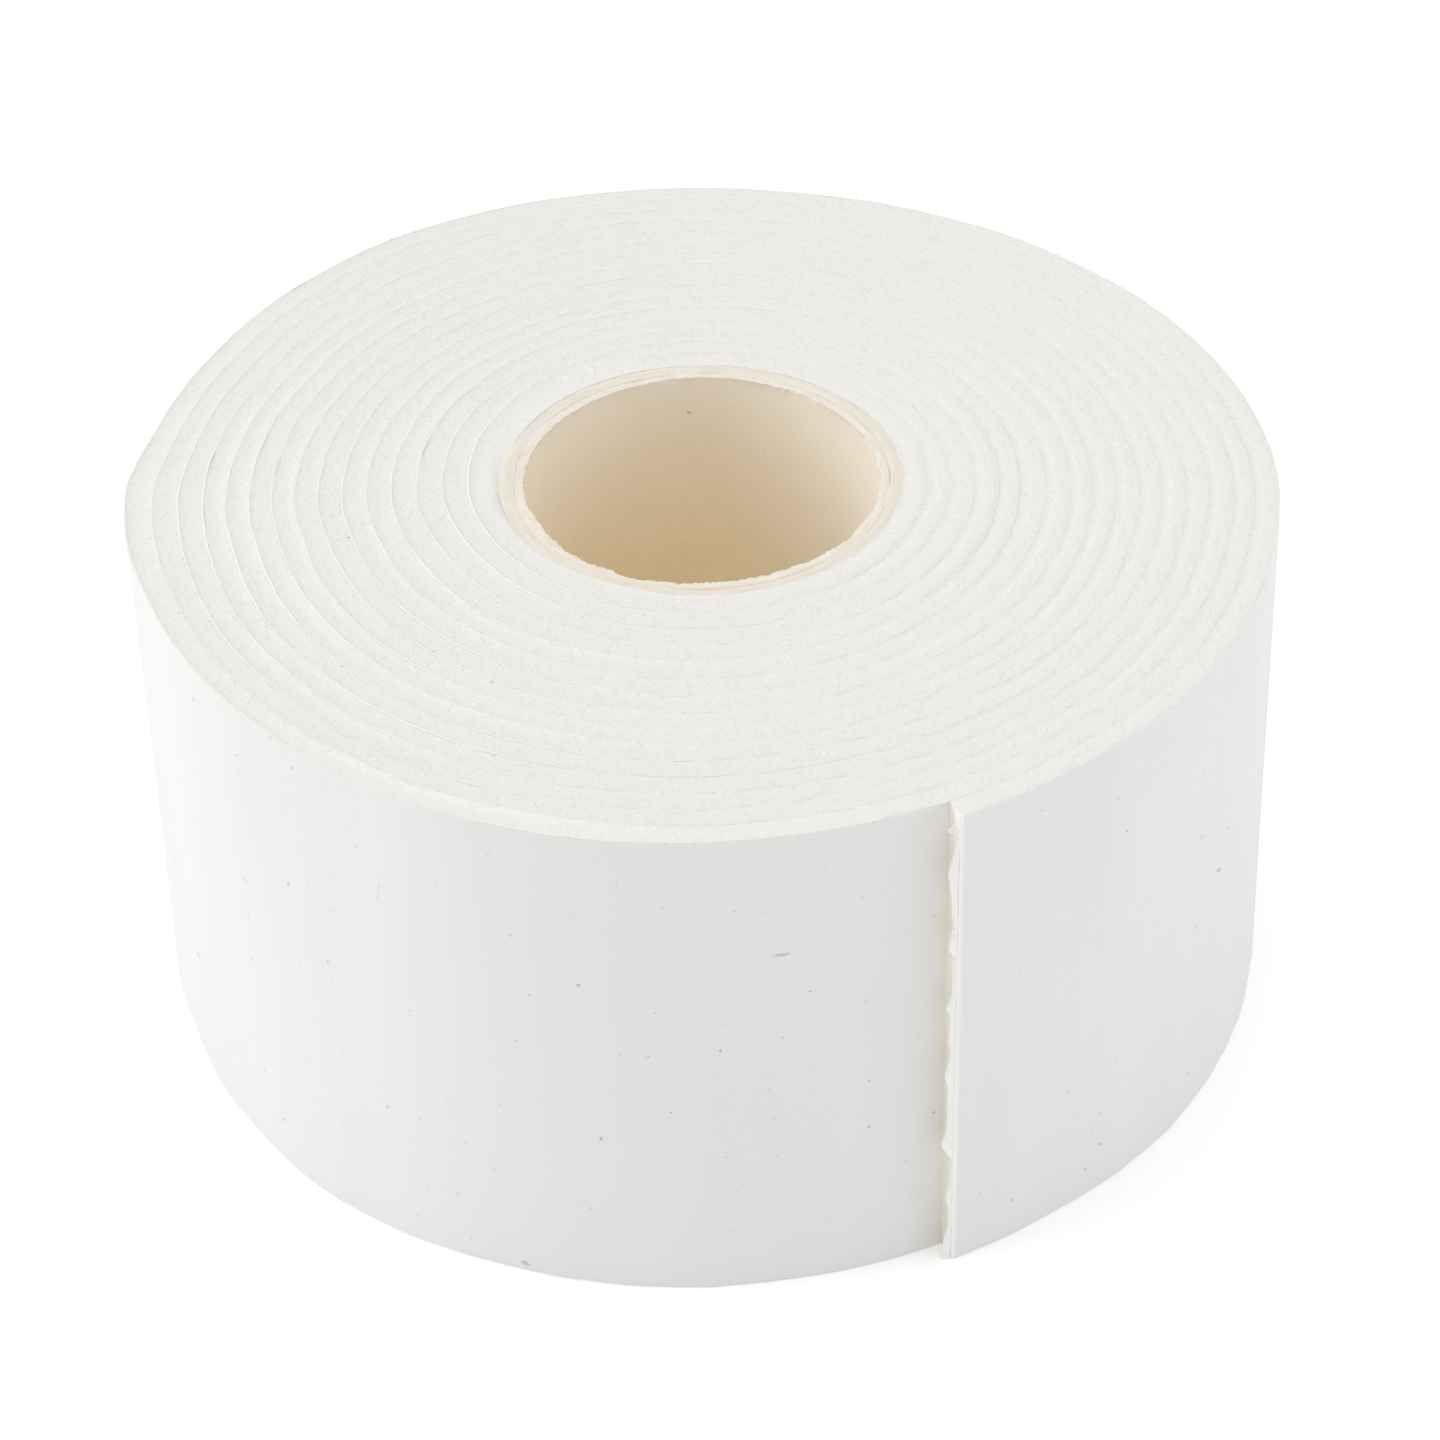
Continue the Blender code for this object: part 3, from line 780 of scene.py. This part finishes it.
TALL_RISES = np.concatenate([[0.0, 0.006, 0.015], np.linspace(0.03, 0.97, 130), [0.985, 0.994, 1.0]])
END_SHARES = FOAM_IN + (FOAM_OUT - FOAM_IN) * np.array(
    [0.0, 0.05, 0.13, 0.27, 0.42, 0.52, 0.60, 0.68, 0.75, 0.82, 0.88, 0.93, 0.97, 1.0])
for i in range(1, 6):
    far = HINGE[i - 1] + HALF
    near = HINGE[i - 1] - HALF if i < 5 else 0.0
    a, b = ("roll" if i == 1 else "tail_%d" % (i - 1)), "tail_%d" % i
    name = "tail_foam_bend_%d" % i if i < 5 else "tail_foam_end"
    us = even_backs(near, far, 0.00045)
    piece = box_grid(name, us, END_SHARES if i == 5 else FOAM_SHARES, TALL_RISES if i == 5 else FOAM_RISES,
                     foam_place(foam_end if i == 5 else None))
    paint(piece, FOAM)
    point_at(HINGE[i - 1] + HALF)
    point_at(HINGE[i - 1] - HALF)
    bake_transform(piece)
    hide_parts("tail_foam_%d" % i)

LINER_CUTS = [78.0, 66.0, 54.0, 42.0, 30.0, 22.0, 15.0, 0.0]
LINER_JOINTS = [(72.0, "roll", "tail_1", 6.0, 6.0), (60.0, "tail_1", "tail_2", 6.0, 6.0),
                (48.0, "tail_2", "tail_3", 6.0, 6.0), (36.0, "tail_3", "tail_4", 6.0, 6.0),
                (24.0, "tail_4", "tail_5", 6.0, 2.0), (20.0, "tail_5", "tab_root", 2.0, 5.0),
                (10.0, "tab_root", "tab_tip", 5.0, 6.0)]


def tail_liner_place(u, v, w):
    x, y, z, s, marks = liner_surface(u, v, w, 1.0)
    r = np.hypot(x, y)
    cross = (v - LINER_IN) / (LINER_OUT - LINER_IN)
    # the cut edge rolls over towards the foam
    lip = -0.00010 * cross * smooth(u, RAD(0.36), 0.0) ** 2
    k = 1.0 + (skin_offset(u, z) + lip) / r
    # painted highlight along the liner's rolled cut lip
    marks[:, 2] = -0.9 * smooth(u, RAD(0.50), RAD(0.10))
    return np.stack([x * k, y * k, z], 1), np.stack([s, v * PITCH, z], 1), marks


def cut_edge(place):
    """The liner's cut edge stands almost straight, leaning a hair."""
    def inner(u, v, w):
        lean = (w - 0.5) * RAD(0.12) + RAD(0.05) * noise3(w * 14, 0, 0, 71)
        return place(u + lean * smooth(u, RAD(6), 0.0), v, w)
    return inner


LINER_NODES = {1: "tail_liner_1", 2: "tail_liner_2", 3: "tail_liner_3", 4: "tail_liner_4",
               5: "tail_liner_5", 6: "liner_tab_root", 7: "liner_tab_tip"}
for i, (hinge, a, b, before, after) in enumerate(LINER_JOINTS, 1):
    far, near = RAD(LINER_CUTS[i - 1]), RAD(LINER_CUTS[i])
    us = even_backs(near, far, 0.00060)
    if i == 7:
        us = np.concatenate([[0.0], RAD(1.0) * np.array([0.1, 0.2, 0.32, 0.45, 0.65]), us[1:]])
    name = {6: "liner_tab_fold", 7: "liner_tab_end"}.get(i, "tail_liner_bend_%d" % i)
    place = cut_edge(tail_liner_place) if i == 7 else tail_liner_place
    piece = box_grid(name, us, LINER_SHARES, OUTER_RISES, place)
    paint(piece, LINER)
    point_at(RAD(hinge + before))
    point_at(RAD(hinge - after))
    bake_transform(piece)
    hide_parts(LINER_NODES[i])


def glue_place(u, v, w):
    x, y = plan(u, v)
    s = along(u)
    z = 0.00012 + (FOAM_TOP - 0.00045) * w
    k = 1.0 + skin_offset(u, z) / np.hypot(x, y)
    x, y = x * k, y * k
    return np.stack([x, y, z], 1), np.stack([s, v * PITCH, z], 1), None


glue = box_grid("adhesive_coat", even_backs(RAD(0.50), RAD(21.0), 0.0006),
                np.array([GLUE_IN, GLUE_OUT]), np.linspace(0, 1, 60), glue_place)
paint(glue, GLUE)
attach(glue, "tail_5")
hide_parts("tail_adhesive")

# ------------------------------------------------------ tufts and foam crumbs
def blob_mesh(name, centres, axes, seed):
    """Small closed lumps: each has three half-axis vectors."""
    around, levels = 8, 5
    verts, faces = [], []
    for c, (p, q, r) in zip(centres, axes):
        base = len(verts)
        verts.append(c - r)
        for j in range(1, levels):
            polar = math.pi * j / levels
            for k in range(around):
                a = TAU * k / around
                d = (math.sin(polar) * math.cos(a) * p + math.sin(polar) * math.sin(a) * q
                     - math.cos(polar) * r)
                verts.append(c + d * (1.0 + 0.22 * float(noise3(k * 1.7, j * 1.9, base * 0.37, seed))))
        verts.append(c + r)
        top = len(verts) - 1
        for k in range(around):
            n = (k + 1) % around
            faces.append((base, base + 1 + n, base + 1 + k))
            for j in range(levels - 2):
                lower, upper = base + 1 + j * around, base + 1 + (j + 1) * around
                faces.append((lower + k, lower + n, upper + n, upper + k))
            last = base + 1 + (levels - 2) * around
            faces.append((last + k, last + n, top))
    mesh = bpy.data.meshes.new(name)
    mesh.from_pydata([tuple(v) for v in verts], [], faces)
    mesh.update()
    mesh.shade_smooth()
    obj = bpy.data.objects.new(name, mesh)
    scene.collection.objects.link(obj)
    return obj


def plain_material(name, colour, rough):
    m = Nodes(name)
    fine = m.noise(m.object_space(), 4000.0, 2.0, 0.6)
    low = tuple(0.93 * c for c in colour)
    m.link(m.ramp(fine, [(0.35, low), (0.65, colour)]), m.shader.inputs["Base Color"])
    m.set(Roughness=rough, Specular_IOR_Level=0.3)
    return m.mat


scene = bpy.context.scene
dice = np.random.RandomState(11)

# tufts that the cut has pulled out of the tail's end face
TUFT = plain_material("foam_tuft", (0.93, 0.915, 0.865), 0.95)
out = np.array([math.sin(TAIL_END_ANGLE), -math.cos(TAIL_END_ANGLE), 0.0])
radial = np.array([math.cos(TAIL_END_ANGLE), math.sin(TAIL_END_ANGLE), 0.0])
upward = np.array([0.0, 0.0, 1.0])
centres, axes = [], []
for z0, length, share in [(0.0368, 0.00066, 0.80), (0.0361, 0.00030, 0.84), (0.0343, 0.00026, 0.86),
                          (0.0316, 0.00046, 0.84), (0.0288, 0.00026, 0.87), (0.0262, 0.00038, 0.86),
                          (0.0219, 0.00028, 0.88), (0.0187, 0.00044, 0.85), (0.0155, 0.00026, 0.87),
                          (0.0126, 0.00034, 0.86), (0.0088, 0.00048, 0.84), (0.0058, 0.00026, 0.87),
                          (0.0031, 0.00036, 0.88)]:
    x, y = plan(np.array([0.0]), np.array([share]))
    start = np.array([x[0], y[0], z0])
    for lump in range(4):
        reach = length * (0.25 + 0.75 * lump / 3.0)
        size = length * dice.uniform(0.22, 0.34) * (1.0 - 0.12 * lump)
        tilt = dice.uniform(-0.5, 0.5)
        long_axis = out * math.cos(tilt) + upward * math.sin(tilt)
        side_axis = upward * math.cos(tilt) - out * math.sin(tilt)
        centres.append(start + out * reach * 0.8 + upward * dice.uniform(-0.00006, 0.00006)
                       + radial * dice.uniform(-0.00005, 0.00003))
        axes.append((long_axis * size * 1.5, side_axis * size * 0.7, radial * size * 0.6))
tuft_piece = blob_mesh("tail_end_tufts", centres, axes, 91)
flip_if_inside_out(tuft_piece)
paint(tuft_piece, TUFT)
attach(tuft_piece, "tail_5")

# crumbs of foam that cling to the liner's edges, most on the left
centres, axes = [], []
while len(centres) < 260:
    back = dice.uniform(TAIL + HALF + 0.05, TOTAL - TAU)
    theta = TAIL_END_ANGLE + back
    if dice.rand() > 0.05 + 0.9 * float(seam_strength(np.array(theta))):
        continue
    share = 0.96 + 0.07 * dice.randn()
    x, y = plan(np.array([back]), np.array([share]))
    z = (FOAM_TOP + 0.00005 * float(noise3(x * 180, y * 180, 0.3, 21)[0])
         + 0.00005 * float(shoulder_strength(np.array(theta))))
    turn = dice.uniform(0, TAU)
    size = dice.uniform(0.00004, 0.00009)
    p = np.array([math.cos(turn), math.sin(turn), 0.0])
    q = np.array([-math.sin(turn), math.cos(turn), 0.0])
    centres.append(np.array([x[0], y[0], z]))
    axes.append((p * size * dice.uniform(1.0, 2.0), q * size * dice.uniform(0.7, 1.0),
                 upward * size * 0.45))
crumb_piece = blob_mesh("foam_crumbs", centres, axes, 92)
flip_if_inside_out(crumb_piece)
paint(crumb_piece, TUFT)
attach(crumb_piece, "roll")

# --------------------------------------------------------------------- the core
CORE_Z0, CORE_Z1 = 0.00015, WIDTH - 0.00015


def core_tube(name, inner, outer, top_noise, burr, outer_pale, seed, mat, node):
    """A paper ply with a rough cut rim: the profile runs up the outside, over
    the rim, down the bore and back under."""
    rows = 26
    wall = outer - inner
    profile = []
    height = CORE_Z1 - CORE_Z0
    for t in np.linspace(0, 1, rows):
        profile.append((outer, CORE_Z1 - height * (1 - t) ** 2.4))
    rim_n = 7
    for t in np.linspace(0, 1, rim_n)[1:-1]:
        profile.append((outer - wall * t, CORE_Z1 + wall * 0.07 * math.sin(math.pi * t)))
    for t in np.linspace(0, 1, rows):
        profile.append((inner, CORE_Z1 - height * t ** 2.4))
    for t in np.linspace(0, 1, 5)[1:-1]:
        profile.append((inner + wall * t, CORE_Z0))
    profile = np.array(profile)

    def place(a, i):
        r, z = profile[i, 0].copy(), profile[i, 1].copy()
        arc = a * 0.013
        near = smooth(z, CORE_Z1 - 0.0016, CORE_Z1)
        rim = smooth(z, CORE_Z1 - 0.0004, CORE_Z1)
        cx, cy = np.cos(a) * 13.0, np.sin(a) * 13.0       # seamless round the rim
        r = r + (0.00005 * noise3(cx * 0.35, cy * 0.35, z * 60, seed))
        inside = np.clip((outer - r) / wall, 0, 1)
        tear = fbm(cx * 0.9, cy * 0.9, z * 500, seed + 1, 4)
        small = noise3(cx * 6.0, cy * 6.0, z * 2500, seed + 2)
        torn = fbm(cx * 0.42, cy * 0.42, 2.0, seed + 7, 3)
        r = r - burr * rim * inside * (0.65 * np.clip(tear, -0.4, 1) + 0.55 * np.clip(torn, -0.5, 1) + 0.22 * small)
        z = z + top_noise * rim * (0.7 * tear + 0.3 * small)
        z = z + 0.00010 * near * noise3(cx * 0.18, cy * 0.18, 0, seed + 3)
        pos = np.stack([CORE_AXIS[0] + r * np.cos(a), CORE_AXIS[1] + r * np.sin(a), z], 1)
        pale = rim * (0.35 + 0.65 * np.clip(tear + 0.4 * small, 0, 1)) * smooth(inside, 0.55, 1.0)
        patch = smooth(noise3(cx * 0.5, cy * 0.5, 4.0, seed + 5), -0.4, 0.6)
        pale = np.maximum(pale, rim * (0.25 + 0.65 * patch) * smooth(inside, 0.40, 0.05) * outer_pale)
        return pos, np.stack([pale, 0 * z, 0 * z], 1)

    obj = ring_grid(name, 900, len(profile), place)
    paint(obj, mat)
    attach(obj, "roll")
    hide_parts(node)
    return obj


core_tube("core_bore_ply", CORE_BORE_RADIUS, CORE_BORE_RADIUS + 0.00062, 0.00008, 0.00026, 0.0, 101,
          PLY_IN, "core_inner_ply")
core_tube("core_outer_board", CORE_BORE_RADIUS + 0.00061, CORE_OUTER_RADIUS + 0.00006, 0.00004,
          0.00003, 1.0, 131, PLY_OUT, "core_outer_ply")

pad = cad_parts["core_tack_pad"]
pad.data.materials.clear()
pad.data.materials.append(GLUE)

# ------------------------------------------------------------ floor and lights
floor_mesh = bpy.data.meshes.new("floor")
floor_mesh.from_pydata([(-6, -6, 0), (6, -6, 0), (6, 6, 0), (-6, 6, 0)], [], [(0, 1, 2, 3)])
floor = bpy.data.objects.new("floor", floor_mesh)
floor.location.z = -0.00002
scene.collection.objects.link(floor)
f = Nodes("floor_white")
f.set(Base_Color=(0.98, 0.98, 0.98, 1), Roughness=0.9, Specular_IOR_Level=0.0)
f.set(Emission_Color=(1, 1, 1, 1), Emission_Strength=0.20)
floor_mesh.materials.append(f.mat)

world = bpy.data.worlds.new("studio")
scene.world = world
world.use_nodes = True
world.node_tree.nodes["Background"].inputs["Color"].default_value = (1, 1, 1, 1)
world.node_tree.nodes["Background"].inputs["Strength"].default_value = 0.575


def softbox(name, location, size, energy, target=(0, 0, 0.02)):
    data = bpy.data.lights.new(name, "AREA")
    data.shape = "RECTANGLE"
    data.size, data.size_y = size
    data.energy = energy
    obj = bpy.data.objects.new(name, data)
    obj.location = location
    direction = Vector(target) - Vector(location)
    obj.rotation_euler = direction.to_track_quat("-Z", "Y").to_euler()
    scene.collection.objects.link(obj)
    return obj


softbox("key_left", (-0.85, 0.00, 0.42), (0.8, 0.6), 2.66)
softbox("top_back", (0.0, 0.25, 1.0), (1.0, 1.0), 2.18)
softbox("top_front", (0.0, -0.22, 1.0), (1.0, 1.0), 1.34)
softbox("left_high", (-0.6, -0.05, 0.85), (0.5, 0.5), 0.36)
softbox("right_fill", (0.9, -0.1, 0.35), (0.6, 0.5), 1.14)

# ---------------------------------------------------------------------- camera
SCALE = ROLL_RADIUS
target = Vector((0.03129 * SCALE - CENTRE[0], -CENTRE[1], 0.4583 * SCALE))
elevation, distance, roll = 0.65929, 8.7436 * SCALE, -0.0182
back = Vector((0.0, -math.cos(elevation), math.sin(elevation)))
right = Vector((1.0, 0.0, 0.0))
up = right.cross(-back)
r2 = right * math.cos(roll) + up * math.sin(roll)
u2 = up * math.cos(roll) - right * math.sin(roll)
camera_data = bpy.data.cameras.new("camera")
camera_data.sensor_fit = "HORIZONTAL"
camera_data.sensor_width = 36.0
camera_data.lens = 4906.8 / 1440.0 * 36.0
camera_data.clip_start = 0.01
camera = bpy.data.objects.new("camera", camera_data)
matrix = Matrix((r2, u2, back)).transposed().to_4x4()
matrix.translation = target + back * distance
camera.matrix_world = matrix
scene.collection.objects.link(camera)
scene.camera = camera

scene.view_settings.view_transform = "Standard"
scene.view_settings.look = "None"
scene.view_settings.exposure = 0.0
scene.view_settings.gamma = 1.0
